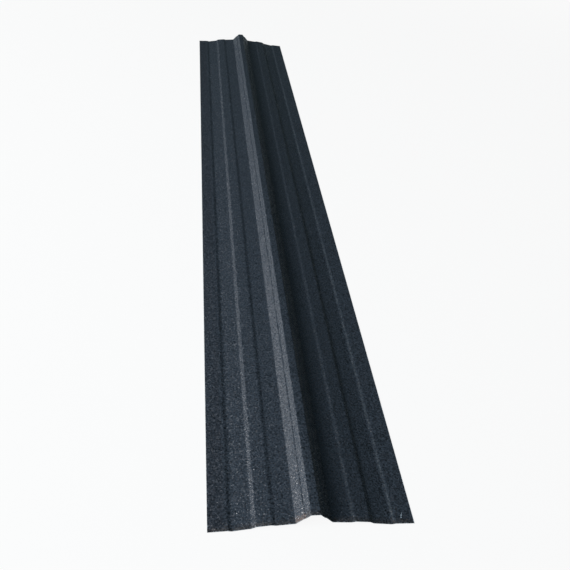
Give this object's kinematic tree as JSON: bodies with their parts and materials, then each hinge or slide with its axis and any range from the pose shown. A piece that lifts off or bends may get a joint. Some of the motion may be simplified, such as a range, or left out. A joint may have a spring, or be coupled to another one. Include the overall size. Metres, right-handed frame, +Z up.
{
  "type": "roof ridge cap",
  "caption": "Long roll-formed sheet-steel cap that covers a roof's ridge: a raised trapezoid bead along the middle, and stepped wings that fall to plain cut edges.",
  "frame": {"origin": "middle of the cap's length and width, on the level surface that it lies on", "axes": "+Y along the ridge, +X across it, +Z up, out of the weather side"},
  "size_m": [0.307, 2, 0.0339],
  "materials": {
    "matt_coat": "matt, finely grained anthracite coating"
  },
  "bodies": {
    "root": {"ridge_cap": "matt_coat"}
  },
  "joints": []
}
